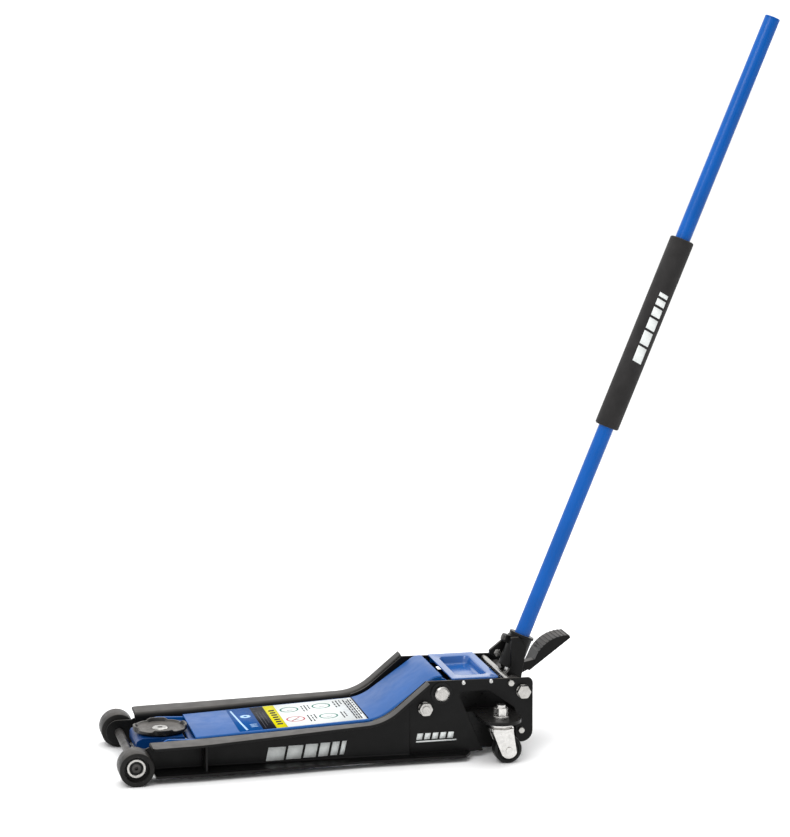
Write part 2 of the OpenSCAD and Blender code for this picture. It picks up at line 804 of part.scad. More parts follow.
module caster_axle(sign) {
    on_side(sign) color("silver") place() {
        pin(wheel_x, caster_r, 4, swivel_y - 19.5, swivel_y + 19.5);
        for (y = [swivel_y - 19.5, swivel_y + 17.5]) pin(wheel_x, caster_r, 6, y, y + 2);
    }
}
module caster_axle_left() { caster_axle(-1); }
module caster_axle_right() { caster_axle(1); }

module caster_wheel(sign) {
    hole = 4 + fit / 2;
    on_side(sign) color("dimgray") place() translate([wheel_x, swivel_y - 12, caster_r])
        rotate([-90, 0, 0]) rotate_extrude()
            polygon([[hole, -2.4], [8, -2.4], [8, 2], [caster_r - 7, 2], [caster_r - 6, 0],
                     [caster_r - 2.5, 0], [caster_r - 0.6, 1.2], [caster_r, 4], [caster_r, 20],
                     [caster_r - 0.6, 22.8], [caster_r - 2.5, 24], [caster_r - 6, 24],
                     [caster_r - 7, 22], [8, 22], [8, 26.4], [hole, 26.4]]);
}
module caster_wheel_left() { caster_wheel(-1); }
module caster_wheel_right() { caster_wheel(1); }

// ---- handle ----

// Hinge and roller lug that both cheeks of the socket share
module cheek_foot() {
    translate([socket_x, socket_z]) circle(18);
    translate([roller_x, roller_z]) circle(9);
    polygon([[socket_x - 14, socket_z - 10], [roller_x - 9, roller_z], [roller_x + 9, roller_z],
             [socket_x + 18, socket_z]]);
}

module left_cheek() {
    cheek_foot();
    polygon([[socket_x - 16, socket_z + 4], [socket_x - 11, socket_z + 12], [socket_x - 2, socket_z + 26],
             [socket_x - 2, socket_z + 79], [socket_x + 12, socket_z + 80], [socket_x + 27, socket_z + 62],
             [socket_x + 24, socket_z + 43], [socket_x + 17, socket_z + 4]]);
}

// The right cheek reaches forward as a wing
module right_cheek() {
    cheek_foot();
    polygon([[socket_x - 8, socket_z + 15], [socket_x - 10, socket_z + 33],
             [socket_x - 31, socket_z + 41], [socket_x - 31, socket_z + 48],
             [socket_x + 10, socket_z + 80], [socket_x + 24, socket_z + 60],
             [socket_x + 17, socket_z + 4]]);
}

module handle_socket() {
    color("black") place() difference() {
        union() {
            plate(-cheek_out, -cheek_in) left_cheek();
            plate(cheek_in, cheek_out) right_cheek();
            along_handle() {
                translate([0, 0, -60]) cylinder(h = 64, r = 21);
                translate([0, 0, -1]) cylinder(h = 5, r = 23);
                translate([-28, -7, -20]) cube([14, 14, 14]);
            }
        }
        along_handle() {
            translate([0, 0, -62]) cylinder(h = 70, d = tube_d + fit);
            translate([-40, 0, -13]) rotate([0, 90, 0]) cylinder(h = 40, r = 4 + fit / 2);
        }
        pin(socket_x, socket_z, 8 + fit / 2, -100, 100);
        pin(roller_x, roller_z, 3.5 + fit / 2, -100, 100);
        pin(stop_x, stop_z, 4 + fit / 2, 0, 100);
    }
}

module socket_roller() {
    color("silver") place() {
        pin(roller_x, roller_z, 8, -cheek_in + 0.5, cheek_in - 0.5);
        pin(roller_x, roller_z, 3.5, -cheek_out, cheek_out);
    }
}

// Bolt through the wing of the right cheek
module socket_stop_bolt() {
    color("silver") place() {
        hex_y(stop_x, stop_z, 13, 13.2, cheek_in);
        pin(stop_x, stop_z, 4, 16, cheek_out + 1);
        hex_y(stop_x, stop_z, 13, cheek_out, cheek_out + 6);
    }
}

module collar_bolt() {
    color("silver") place() along_handle() {
        translate([-34, 0, -13]) rotate([0, 90, 0]) cylinder(h = 19.5, r = 4);
        translate([-33.5, 0, -13]) rotate([0, 90, 0]) cylinder(h = 5.4, r = 7.5, $fn = 6);
    }
}

module handle_lower_tube() {
    color("royalblue") place() along_handle() difference() {
        translate([0, 0, -58]) cylinder(h = split + 58, d = tube_d);
        translate([0, 0, -46]) cylinder(h = split + 60, d = tube_d - 4);
    }
}

module handle_upper_tube() {
    color("royalblue") place() along_handle() difference() {
        union() {
            translate([0, 0, split]) cylinder(h = handle_len - 3 - split, d = tube_d);
            translate([0, 0, split - 45]) cylinder(h = 50, d = tube_d - 4 - fit);
        }
        translate([0, 0, split - 46]) cylinder(h = 92, d = tube_d - 8);
        translate([0, 0, split + 45]) cylinder(h = handle_len, d = tube_d - 4);
    }
}

module handle_grip() {
    color("dimgray") place() along_handle() translate([0, 0, grip_from]) rotate_extrude()
        polygon([[tube_d / 2 + 0.1, 0], [grip_d / 2 - 3, 0], [grip_d / 2 - 0.8, 0.9], [grip_d / 2, 3],
                 [grip_d / 2, grip_len - 3], [grip_d / 2 - 0.8, grip_len - 0.9],
                 [grip_d / 2 - 3, grip_len], [tube_d / 2 + 0.1, grip_len]]);
}

module handle_cap() {
    color("royalblue") place() along_handle() {
        translate([0, 0, handle_len - 3]) cylinder(h = 3, d = tube_d);
        translate([0, 0, handle_len - 18]) cylinder(h = 16, d = tube_d - 4 - fit);
    }
}

// Forked key under the handle that turns the release valve
module release_key() {
    color("silver") place() along_handle() difference() {
        union() {
            translate([0, 0, -84]) cylinder(h = 26, r = 6);
            translate([0, 0, -59]) cylinder(h = 1, r = 10);
        }
        translate([-3, -8, -86]) cube([6, 16, 14]);
    }
}

// ---- foot pedal ----

module foot_pedal() {
    color("black") place() difference() {
        union() {
            plate(pedal_y - 9, pedal_y + 9) {
                translate([socket_x, socket_z]) circle(15);
                polygon([[socket_x, socket_z - 14], [750, 127], [750, 140], [socket_x + 5, socket_z + 14]]);
            }
            plate(pedal_y - 9, pedal_y - 4) lever_tail();
            plate(pedal_y + 4, pedal_y + 9) lever_tail();
            pin(pedal_roller_x, pedal_roller_z, 8, pedal_y - 3.6, pedal_y + 3.6);
            pin(pedal_roller_x, pedal_roller_z, 3, pedal_y - 9, pedal_y + 9);
            plate(pad_in, pad_out)
                polygon(concat([[741, 119.5]], [[819, 177], [817.5, 181.5]],
                               arc(812, 118, 64, 86, 162, 14)));
            for (i = [0:9]) rotate_about_pad(88 + i * 6.4)
                box(-0.9, 0.9, pad_in + 2, pad_out - 2, 62.5, 65.2);
        }
        pin(socket_x, socket_z, 8 + fit / 2, 0, 100);
    }
}

module lever_tail() {
    translate([pedal_roller_x, pedal_roller_z]) circle(6.5);
    polygon([[socket_x - 3, socket_z - 8], [pedal_roller_x - 6.5, pedal_roller_z],
             [pedal_roller_x + 6.5, pedal_roller_z], [socket_x + 14, socket_z - 4]]);
}

module rotate_about_pad(a) { translate([812, 0, 118]) rotate([0, 90 - a, 0]) children(); }

side_plate_left();
side_plate_right();
caster_bracket_left();
caster_bracket_right();
front_cross_plate();
rear_cross_plate();
front_axle();
axle_retainers();
tie_rods();
tie_bolts();
tray_cover();
tray_screws();
pump_body();
hydraulic_reservoir();
filler_plug();
arm_pivot_shaft();
arm_pivot_washers();
levelling_studs();
socket_pivot_bolts();
pivot_spacers();
caster_studs();
arm_side_left();
arm_side_right();
arm_cover();
arm_cross_plates();
arm_pivot_tube();
arm_heel_plates();
heel_pin();
carrier_pin();
levelling_rods();
saddle_carrier();
levelling_pin();
saddle();
saddle_screw();
ram_rod();
front_wheel_left();
front_wheel_right();
hub_ring_left();
hub_ring_right();
caster_fork_left();
caster_fork_right();
caster_axle_left();
caster_axle_right();
caster_wheel_left();
caster_wheel_right();
handle_socket();
socket_roller();
socket_stop_bolt();
collar_bolt();
handle_lower_tube();
handle_upper_tube();
handle_grip();
handle_cap();
release_key();
release_valve();
foot_pedal();
pump_plunger();
pedal_plunger();
plunger_springs();
arm_return_springs();
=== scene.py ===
"""Looks of the car jack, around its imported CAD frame.

Blender works in metres. Lengths whose names end in _MM or _mm, the points of outlines and paths, and the
arguments of at() are millimetres in the design's own axes: X rearward from the front axle, Y to the
operator's right, Z up from the floor.
"""
import json
import math

import bmesh
import bpy
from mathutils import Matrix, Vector


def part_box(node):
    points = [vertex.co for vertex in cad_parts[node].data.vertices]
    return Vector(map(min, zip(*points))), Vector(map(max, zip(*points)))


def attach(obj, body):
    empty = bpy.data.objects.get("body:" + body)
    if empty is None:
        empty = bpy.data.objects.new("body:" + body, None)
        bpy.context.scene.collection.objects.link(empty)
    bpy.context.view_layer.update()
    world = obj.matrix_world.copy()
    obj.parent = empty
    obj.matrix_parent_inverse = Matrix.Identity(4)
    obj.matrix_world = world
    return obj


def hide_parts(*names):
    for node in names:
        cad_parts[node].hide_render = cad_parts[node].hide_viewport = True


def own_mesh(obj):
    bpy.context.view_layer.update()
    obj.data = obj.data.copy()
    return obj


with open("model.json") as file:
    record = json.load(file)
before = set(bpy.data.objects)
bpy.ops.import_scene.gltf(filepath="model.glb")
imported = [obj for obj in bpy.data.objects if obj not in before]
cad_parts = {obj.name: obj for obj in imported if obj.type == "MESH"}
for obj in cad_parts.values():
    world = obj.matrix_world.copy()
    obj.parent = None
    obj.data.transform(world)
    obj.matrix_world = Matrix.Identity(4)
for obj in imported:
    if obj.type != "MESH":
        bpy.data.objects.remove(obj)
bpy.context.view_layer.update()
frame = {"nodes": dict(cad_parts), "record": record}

MM = 0.001
SIDES = {"left": -1, "right": 1}
AXLE_X = sum(corner.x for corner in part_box("front_axle")) / 2

# Driving dimensions, as in the design. The side plates: a flat rear plate, and outside it a folded rail
FRAME_HALF_MM = 93
PLATE_MM = 4.4
REAR_OUT_MM = FRAME_HALF_MM + PLATE_MM
REAR_TOP_MM = 142.5
REAR_X_MM = 713.6
RAIL_IN_MM = REAR_OUT_MM
RAIL_OUT_MM = RAIL_IN_MM + PLATE_MM
RAIL_BEND_MM = 8
RAIL_END_MM = 487.8
WEB_FRONT_MM = 33
# The rail's flanges taper to the rear, with a round front corner and a rear end that is cut at an angle
FLANGE_FRONT_MM = 28
FLANGE_CORNER_MM = 9
FLANGE_WIDE_MM = 147.6
FLANGE_NARROW_MM = 127
FLANGE_TAPER_MM = (110, 400)
FLANGE_CUT_MM = 585
RAMP_END_MM = (518.5, 145)
# The lift arm: its main pivot, and its heel pin, which at rest is half the travel behind the lowest point
PIVOT_MM = (546.2, 119.8)
HEEL_ARM_MM = 44
LIFT_DEG = 55
ARM_HALF_MM = 80
ARM_PLATE_MM = 4
COVER_START_MM = (112, 61.8)
CREST_R_MM = 27.4
SADDLE_X_MM = 60.4
LOW_ROD_MM = (692.2, 44.7)
# The handle, from the middle of its collar
COLLAR_MM = (718.5, 0, 191.9)
HANDLE_DEG = 67.55
GRIP_FROM_MM = 408
GRIP_R_MM = 22

# Prints: how far they reach into the paint, how high they and the marks on them stand, the gap between
# stripes, and half the width of the label
SUNK_MM = 0.3
PRINT_MM = 0.12
MARK_MM = 0.2
STRIPE_GAP_MM = 4.5
LABEL_HALF_MM = 75


def at(x, y, z):
    """A point of the design, given in millimetres, as a place in Blender."""
    return Vector((AXLE_X + x * MM, y * MM, z * MM))


# ---- camera, floor and lights ----


def look(azimuth_deg, below_deg):
    """Rotation that looks along +Y, turned towards +X, and down."""
    a, b = math.radians(azimuth_deg), math.radians(below_deg)
    along = Vector((math.sin(a) * math.cos(b), math.cos(a) * math.cos(b), -math.sin(b)))
    return along.to_track_quat("-Z", "Y").to_euler()


def make_camera():
    """A long lens far off the jack's left side, level with its front end and a little above it."""
    data = bpy.data.cameras.new("camera")
    data.sensor_width = 36
    data.lens = 115.73
    camera = bpy.data.objects.new("camera", data)
    camera.location = at(-556.7, -4576.1, 1314.2)
    camera.rotation_euler = look(12.82, 8.69)
    bpy.context.scene.collection.objects.link(camera)
    bpy.context.scene.camera = camera


def softbox(name, position, target, size, power):
    """A rectangular lamp that points at a target, in metres and watts."""
    data = bpy.data.lights.new(name, "AREA")
    data.shape = "RECTANGLE"
    data.size, data.size_y = size
    data.energy = power
    light = bpy.data.objects.new(name, data)
    light.location = position
    light.rotation_euler = (Vector(target) - Vector(position)).to_track_quat("-Z", "Y").to_euler()
    bpy.context.scene.collection.objects.link(light)


def make_world():
    """White all round, and darker low on the operator's side, which draws the edges of tubes and nuts."""
    world = bpy.data.worlds.new("studio")
    world.use_nodes = True
    tree = world.node_tree
    background = tree.nodes["Background"]
    background.inputs["Color"].default_value = (1, 1, 1, 1)
    bright_side = tree.nodes.new("ShaderNodeVectorMath")
    bright_side.operation = "DOT_PRODUCT"
    bright_side.inputs[1].default_value = (-0.75, 0.5, 0.55)
    tree.links.new(tree.nodes.new("ShaderNodeTexCoord").outputs["Generated"], bright_side.inputs[0])
    ramp = tree.nodes.new("ShaderNodeMapRange")
    for socket, value in {"From Min": -0.7, "From Max": 0.05, "To Min": 0.25, "To Max": 1.22}.items():
        ramp.inputs[socket].default_value = value
    tree.links.new(bright_side.outputs["Value"], ramp.inputs["Value"])
    tree.links.new(ramp.outputs["Result"], background.inputs["Strength"])
    return world


def make_floor():
    """A pale round floor that reaches out of sight."""
    mesh = bpy.data.meshes.new("floor")
    shape = bmesh.new()
    bmesh.ops.create_circle(shape, cap_ends=True, segments=96, radius=45)
    shape.to_mesh(mesh)
    shape.free()
    floor = bpy.data.objects.new("floor", mesh)
    bpy.context.scene.collection.objects.link(floor)
    pale = Surface("floor_pale", (0.94, 0.94, 0.94), 0.9, specular=0.1)
    pale.vary_colour(pale.noise(1.5), 0.995, 1.005)
    mesh.materials.append(pale.material)


def make_studio():
    """A white room with three soft lamps."""
    scene = bpy.context.scene
    scene.view_settings.view_transform = "Standard"
    scene.world = make_world()
    softbox("key", (-1.4, -1.6, 2.6), (0, 0, 0.1), (1.4, 1.4), 26)
    softbox("top", (0.2, 0.6, 3.0), (0, 0, 0.1), (2.4, 2.4), 30)
    softbox("rim", (2.0, 1.8, 1.6), (0.2, 0, 0.4), (1.0, 2.0), 14)
    make_floor()


# ---- materials ----


class Surface:
    """A procedural material: one Principled shader, with textures in object space, scaled per metre."""

    def __init__(self, name, colour, roughness, metallic=0.0, specular=0.5, coat=0.0):
        self.material = bpy.data.materials.new(name)
        self.material.use_nodes = True
        self.colour = colour
        self.roughness = roughness
        self.nodes = self.material.node_tree.nodes
        self.links = self.material.node_tree.links
        self.shader = self.nodes["Principled BSDF"]
        self.set("Base Color", (*colour, 1))
        self.set("Roughness", roughness)
        self.set("Metallic", metallic)
        self.set("Specular IOR Level", specular)
        self.set("Coat Weight", coat)
        self.set("Coat Roughness", 0.12)
        self.place = self.nodes.new("ShaderNodeTexCoord").outputs["Object"]

    def set(self, socket, value):
        self.shader.inputs[socket].default_value = value

    def add(self, kind, values, output=0):
        """A new node with its inputs set from numbers or linked from sockets."""
        node = self.nodes.new(kind)
        for key, value in values.items():
            if isinstance(value, bpy.types.NodeSocket):
                self.links.new(value, node.inputs[key])
            else:
                node.inputs[key].default_value = value
        return node.outputs[output]

    def noise(self, scale, detail=2.0, stretch=(1, 1, 1)):
        place = self.place
        if stretch != (1, 1, 1):
            place = self.add("ShaderNodeMapping", {"Vector": place, "Scale": stretch})
        return self.add("ShaderNodeTexNoise", {"Vector": place, "Scale": scale, "Detail": detail})

    def cells(self, scale):
        return self.add("ShaderNodeTexVoronoi", {"Vector": self.place, "Scale": scale})

    def remap(self, value, low, high, start=0.3, end=0.7):
        """value from start to end becomes low to high."""
        return self.add(
            "ShaderNodeMapRange",
            {"Value": value, "From Min": start, "From Max": end, "To Min": low, "To Max": high},
        )

    def vary_colour(self, value, low, high):
        """Scales the colour between low and high with value."""
        dark = [channel * low for channel in self.colour]
        light = [min(1, channel * high) for channel in self.colour]
        self.blend(self.remap(value, 0, 1), dark, light)

    def blend(self, share, first, second):
        """Base colour between two colours; first may be None for what is already there."""
        node = self.nodes.new("ShaderNodeMix")
        node.data_type = "RGBA"
        base = self.shader.inputs["Base Color"]
        if first is None and base.is_linked:
            self.links.new(base.links[0].from_socket, node.inputs["A"])
        else:
            node.inputs["A"].default_value = (*(first or self.colour), 1)
        node.inputs["B"].default_value = (*second, 1)
        self.links.new(share, node.inputs["Factor"])
        self.links.new(node.outputs["Result"], base)

    def vary_roughness(self, value, spread):
        """Moves the roughness up and down by spread with value."""
        low, high = max(0.02, self.roughness - spread), min(1, self.roughness + spread)
        self.links.new(self.remap(value, low, high), self.shader.inputs["Roughness"])

    def bump(self, height, depth, strength=1.0):
        """Adds relief of that depth in metres, over any that is already there."""
        node = self.nodes.new("ShaderNodeBump")
        node.inputs["Strength"].default_value = strength
        node.inputs["Distance"].default_value = depth
        self.links.new(height, node.inputs["Height"])
        normal = self.shader.inputs["Normal"]
        if normal.is_linked:
            self.links.new(normal.links[0].from_socket, node.inputs["Normal"])
        self.links.new(node.outputs["Normal"], normal)

    def facing_up(self):
        """1 on surfaces that face up and 0 on walls."""
        normal = self.add("ShaderNodeNewGeometry", {}, output="Normal")
        height = self.add("ShaderNodeSeparateXYZ", {"Vector": normal}, output="Z")
        return self.remap(height, 0, 1, 0.5, 1)

    def product(self, first, second):
        """Two values multiplied."""
        node = self.nodes.new("ShaderNodeMath")
        node.operation = "MULTIPLY"
        self.links.new(first, node.inputs[0])
        self.links.new(second, node.inputs[1])
        return node.outputs[0]

    def dust_and_sheen(self, amount):
        """A thin pale film in patches on what faces up, partly dusty and partly painted sheen of the light
        from above; none low down, as painted shade near the floor.
        """
        height = self.add("ShaderNodeSeparateXYZ", {"Vector": self.place}, output="Z")
        # Painted sheen and shade: upward faces high above the floor get the film, and low ones, which lie
        # in shade, get none.
        lit_high_faces = self.product(self.remap(height, 0, 1, 0.03, 0.06), self.facing_up())
        patches = self.remap(self.noise(30, 6), amount / 2, amount)
        self.blend(self.product(patches, lit_high_faces), None, (0.44, 0.40, 0.36))


def powder_coat(name, colour, roughness, specular, dust_and_sheen, coat=0.0):
    """Sprayed and baked paint on steel: slight mottling, orange peel, and a pale film on top that is partly
    dusty and partly painted sheen.
    """
    paint = Surface(name, colour, roughness, specular=specular, coat=coat)
    paint.vary_colour(paint.noise(9, 4), 0.88, 1.1)
    paint.dust_and_sheen(dust_and_sheen)
    paint.vary_roughness(paint.noise(55, 4), 0.06)
    paint.bump(paint.noise(420, 1), 0.00006, 0.5)
    paint.bump(paint.noise(2600, 2), 0.000012, 0.35)
    return paint.material


def zinc_plate(name, colour, roughness):
    """Bright plating with the faint cloudiness and scratches of handled fasteners."""
    metal = Surface(name, colour, roughness, metallic=1)
    metal.vary_colour(metal.noise(140, 5), 0.82, 1.06)
    metal.vary_roughness(metal.noise(260, 5), 0.09)
    metal.bump(metal.noise(500, 2), 0.00002, 0.3)
    metal.bump(metal.noise(900, 2, stretch=(1, 1, 9)), 0.00001, 0.3)
    return metal.material


def turned_steel(name, colour, roughness):
    """Ground or turned bar, with fine marks round its length."""
    metal = Surface(name, colour, roughness, metallic=1)
    metal.vary_colour(metal.noise(40, 4), 0.85, 1.08)
    metal.vary_roughness(metal.noise(500, 3, stretch=(6, 1, 1)), 0.08)
    metal.bump(metal.noise(1800, 2, stretch=(1, 8, 1)), 0.00002, 0.4)
    return metal.material


def blackened_steel(name):
    """Oxidised steel with an oily, uneven sheen."""
    metal = Surface(name, (0.055, 0.052, 0.05), 0.42, metallic=0.7)
    metal.vary_colour(metal.noise(60, 6), 0.6, 1.7)
    metal.vary_roughness(metal.noise(90, 4), 0.12)
    metal.bump(metal.noise(900, 3), 0.00005, 0.5)
    return metal.material


def sand_cast(name, colour, roughness, metallic, grain_mm, dust_and_sheen=0.0):
    """Casting with a pebbled skin from the sand of its mould, and a pale film on top that is partly dusty
    and partly painted sheen.
    """
    metal = Surface(name, colour, roughness, metallic=metallic, specular=0.3)
    metal.vary_colour(metal.noise(50, 6), 0.7, 1.35)
    metal.dust_and_sheen(dust_and_sheen)
    metal.vary_roughness(metal.noise(200, 4), 0.1)
    metal.bump(metal.cells(1 / (grain_mm * MM)), 0.00012, 0.6)
    metal.bump(metal.noise(1100, 3), 0.0001, 0.6)
    return metal.material


def moulded_nylon(name, colour, roughness, dust_and_sheen):
    """Filled plastic of a wheel, with a faint turned tread, scuffs, and a pale film on top that is partly
    dusty and partly painted sheen.
    """
    plastic = Surface(name, colour, roughness, specular=0.16)
    plastic.vary_colour(plastic.noise(45, 6), 0.75, 1.3)
    plastic.dust_and_sheen(dust_and_sheen)
    plastic.vary_roughness(plastic.noise(130, 5), 0.09)
    plastic.bump(plastic.noise(900, 3), 0.00006, 0.5)
    plastic.bump(plastic.noise(1500, 1, stretch=(0.05, 1, 0.05)), 0.00005, 0.5)
    return plastic.material


def closed_foam(name):
    """Extruded rubber foam: matte, with a skin of fine open cells."""
    foam = Surface(name, (0.017, 0.016, 0.016), 0.8, specular=0.2)
    foam.set("Sheen Weight", 0.05)
    foam.set("Sheen Roughness", 0.6)
    foam.vary_colour(foam.noise(35, 5), 0.75, 1.35)
    foam.bump(foam.cells(1100), 0.00018, 0.7)
    foam.bump(foam.noise(60, 3), 0.0006, 0.35)
    return foam.material


def print_ink(name, colour):
    """Screen-printed or label ink: faint mottling and a soft satin film."""
    ink = Surface(name, colour, 0.42, specular=0.04)
    ink.vary_colour(ink.noise(300, 4), 0.93, 1.04)
    ink.vary_roughness(ink.noise(120, 3), 0.05)
    ink.bump(ink.noise(1600, 2), 0.00001, 0.4)
    return ink.material


def make_materials():
    """Every material by the name of its finish."""
    return {
        # The amount given for the pale film on each finish's tops is partly dusty grime and partly painted
        # sheen of the light from above.
        "frame_black": powder_coat("frame_black", (0.0055, 0.0055, 0.0055), 0.34, 0.13, dust_and_sheen=0.13),
        # A darker black with little pale film on top: painted shade for the caster brackets, axle retainers
        # and arm washers.
        "shaded_frame_black": powder_coat("shaded_frame_black", (0.005, 0.005, 0.005), 0.3, 0.16, dust_and_sheen=0.015),
        # A darker blue than the arm's: painted shade for the saddle carrier and the arm's cross plates.
        "shaded_arm_blue": powder_coat("shaded_arm_blue", (0.0006, 0.030, 0.13), 0.34, 0.2, dust_and_sheen=0.004),
        "arm_blue": powder_coat("arm_blue", (0.001, 0.080, 0.30), 0.34, 0.22, dust_and_sheen=0.006),
        "tray_blue": powder_coat("tray_blue", (0.001, 0.090, 0.34), 0.16, 0.5, dust_and_sheen=0.004, coat=0.4),
        "handle_blue": powder_coat("handle_blue", (0.0003, 0.083, 0.36), 0.2, 0.2, dust_and_sheen=0.0),
        "zinc_fastener": zinc_plate("zinc_fastener", (0.48, 0.47, 0.45), 0.27),
        "caster_zinc": zinc_plate("caster_zinc", (0.64, 0.63, 0.61), 0.22),
        "bright_steel": turned_steel("bright_steel", (0.56, 0.56, 0.55), 0.26),
        "spring_steel": turned_steel("spring_steel", (0.30, 0.30, 0.31), 0.34),
        "dark_steel": blackened_steel("dark_steel"),
        "cast_grey": sand_cast("cast_grey", (0.16, 0.165, 0.17), 0.5, 0.2, 1.1),
        "saddle_iron": sand_cast("saddle_iron", (0.010, 0.0095, 0.009), 0.4, 0.0, 1.6, dust_and_sheen=0.22),
        "wheel_nylon": moulded_nylon("wheel_nylon", (0.010, 0.0095, 0.009), 0.42, dust_and_sheen=0.14),
        "caster_tyre": moulded_nylon("caster_tyre", (0.008, 0.008, 0.008), 0.38, dust_and_sheen=0.05),
        "grip_foam": closed_foam("grip_foam"),
        "ink_white": print_ink("ink_white", (0.76, 0.79, 0.78)),
        "ink_blue": print_ink("ink_blue", (0.002, 0.07, 0.27)),
        "ink_pale": print_ink("ink_pale", (0.42, 0.62, 0.86)),
        "ink_black": print_ink("ink_black", (0.008, 0.009, 0.014)),
        "ink_yellow": print_ink("ink_yellow", (0.66, 0.60, 0.001)),
        "ink_grey": print_ink("ink_grey", (0.09, 0.09, 0.10)),
        "ink_green": print_ink("ink_green", (0.03, 0.17, 0.13)),
        "ink_red": print_ink("ink_red", (0.42, 0.05, 0.07)),
    }


# ---- shapes ----


def share(x, start, end):
    """How far x is on the way from start to end, from 0 to 1."""
    return min(1, max(0, (x - start) / (end - start)))


def arc(x, z, radius, start_deg, end_deg, steps=6):
    """Points of an arc about (x, z)."""
    angles = [math.radians(start_deg + (end_deg - start_deg) * i / steps) for i in range(steps + 1)]
    return [(x + radius * math.cos(angle), z + radius * math.sin(angle)) for angle in angles]


def fillet(before, corner, after, radius, steps=6):
    """Points that round a corner between its two neighbours."""
    if not radius:
        return [tuple(corner)]
    corner = Vector(corner)
    u, v = (Vector(before) - corner).normalized(), (Vector(after) - corner).normalized()
    half = u.angle(v) / 2
    centre = corner + (u + v).normalized() * radius / math.sin(half)
    start, end = (corner + edge * radius / math.tan(half) - centre for edge in (u, v))
    first = math.atan2(start.y, start.x)
    turn = (math.atan2(end.y, end.x) - first + math.pi) % math.tau - math.pi
    return arc(*centre, radius, math.degrees(first), math.degrees(first + turn), steps)


def rounded(rows, steps=6):
    """Closed outline from (x, z, corner radius) rows."""
    points = []
    for i, (x, z, radius) in enumerate(rows):
        points += fillet(rows[i - 1][:2], (x, z), rows[(i + 1) % len(rows)][:2], radius, steps)
    return points


def height_on(path, x):
    """Height at x of a path of (x, z) points, level past its ends."""
    for (x0, z0), (x1, z1) in zip(path, path[1:]):
        if x0 <= x <= x1:
            return z0 + (z1 - z0) * (x - x0) / (x1 - x0)
    return path[0][1] if x < path[0][0] else path[-1][1]


def loft(shape, loops, caps=(True, True)):
    """Skins a row of equal loops of points, and closes its ends."""
    rows = [[shape.verts.new(point) for point in loop] for loop in loops]
    count = len(rows[0])
    for first, second in zip(rows, rows[1:]):
        for i in range(count):
            j = (i + 1) % count
            shape.faces.new((first[i], first[j], second[j], second[i]))
    if caps[0]:
        shape.faces.new(rows[0][::-1])
    if caps[1]:
        shape.faces.new(rows[-1])


def prism(shape, outline, y0, y1):
    """A plate of an XZ outline between two Y values."""
    loft(shape, [[at(x, y, z) for x, z in outline] for y in (y0, y1)])


def tube(shape, path, radii, sides=8):
    """A round bar along a path of places, with a radius in metres at each."""
    loops = []
    side = Vector((0, 1, 0))
    for i, place in enumerate(path):
        along = (path[min(i + 1, len(path) - 1)] - path[max(i - 1, 0)]).normalized()
        side = (side - along * side.dot(along)).normalized()
        if side.length < 0.5:
            side = along.orthogonal().normalized()
        across = along.cross(side)
        turns = [math.tau * k / sides for k in range(sides)]
        loops.append([place + radii[i] * (side * math.cos(t) + across * math.sin(t)) for t in turns])
    loft(shape, loops)


def coil(shape, start, end, mean_mm, wire_mm, turns, steps=20):
    """A coil spring's wire from one place to another, its end turns closer together."""
    along = end - start
    first = along.orthogonal().normalized()
    second = along.normalized().cross(first)
    path = []
    for i in range(turns * steps + 1):
        done = i / (turns * steps)
        travel = done - math.sin(math.tau * done) * 0.06
        angle = math.tau * turns * done
        out = first * math.cos(angle) + second * math.sin(angle)
        path.append(start + along * travel + out * mean_mm * MM)
    tube(shape, path, [wire_mm * MM] * len(path))


def bead(shape, path, radius_mm):
    """A weld bead along a path of places, with the ripples that a welder leaves."""
    dense = []
    for first, second in zip(path, path[1:]):
        steps = max(2, round((second - first).length / (1.6 * MM)))
        dense += [first.lerp(second, i / steps) for i in range(steps)]
    dense.append(path[-1])
    radii = [radius_mm * MM * (1 + 0.175 * math.sin(i * 1.9)) for i in range(len(dense))]
    radii[0] = radii[-1] = radius_mm * MM * 0.35
    tube(shape, dense, radii, 7)


def slab(shape, outline, place, height):
    """A thin sheet: place(u, v, height) puts an outline's point in the scene."""
    loft(shape, [[place(u, v, level) for u, v in outline] for level in (-SUNK_MM, height)])


def ring_slab(shape, u, v, outer, inner, place, height, steps=28):
    """A thin flat ring about (u, v)."""
    section = ((inner, -SUNK_MM), (outer, -SUNK_MM), (outer, height), (inner, height))
    loops = []
    for turn in (math.tau * i / steps for i in range(steps + 1)):
        loops.append([place(u + r * math.cos(turn), v + r * math.sin(turn), level) for r, level in section])
    loft(shape, loops, (False, False))
    bmesh.ops.remove_doubles(shape, verts=shape.verts, dist=0.001 * MM)


# ---- pieces ----


def mesh_object(name, shape):
    """Turns a bmesh into an object with smooth faces."""
    mesh = bpy.data.meshes.new(name)
    bmesh.ops.recalc_face_normals(shape, faces=shape.faces)
    for face in shape.faces:
        face.smooth = True
    shape.to_mesh(mesh)
    shape.free()
    piece = bpy.data.objects.new(name, mesh)
    bpy.context.scene.collection.objects.link(piece)
    return piece


def soften(piece, edge_mm, above_deg=28):
    """Rounds the sharp edges of a piece."""
    bevel = piece.modifiers.new("rounded_edges", "BEVEL")
    bevel.width = edge_mm * MM
    bevel.segments = 2
    bevel.limit_method = "ANGLE"
    bevel.angle_limit = math.radians(above_deg)
    bevel.use_clamp_overlap = False
    bevel.harden_normals = True
    bevel.miter_outer = "MITER_ARC"
    return piece


def dress(piece, body, finish):
    """Gives a piece its material and the body that it moves with."""
    piece.data.materials.append(materials[finish])
    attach(piece, body)


def stand_for(piece, node, finish):
    """Puts a detailed piece in the place of a CAD node, on the same body."""
    dress(piece, node_bodies[node], finish)
    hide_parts(node)
    return piece


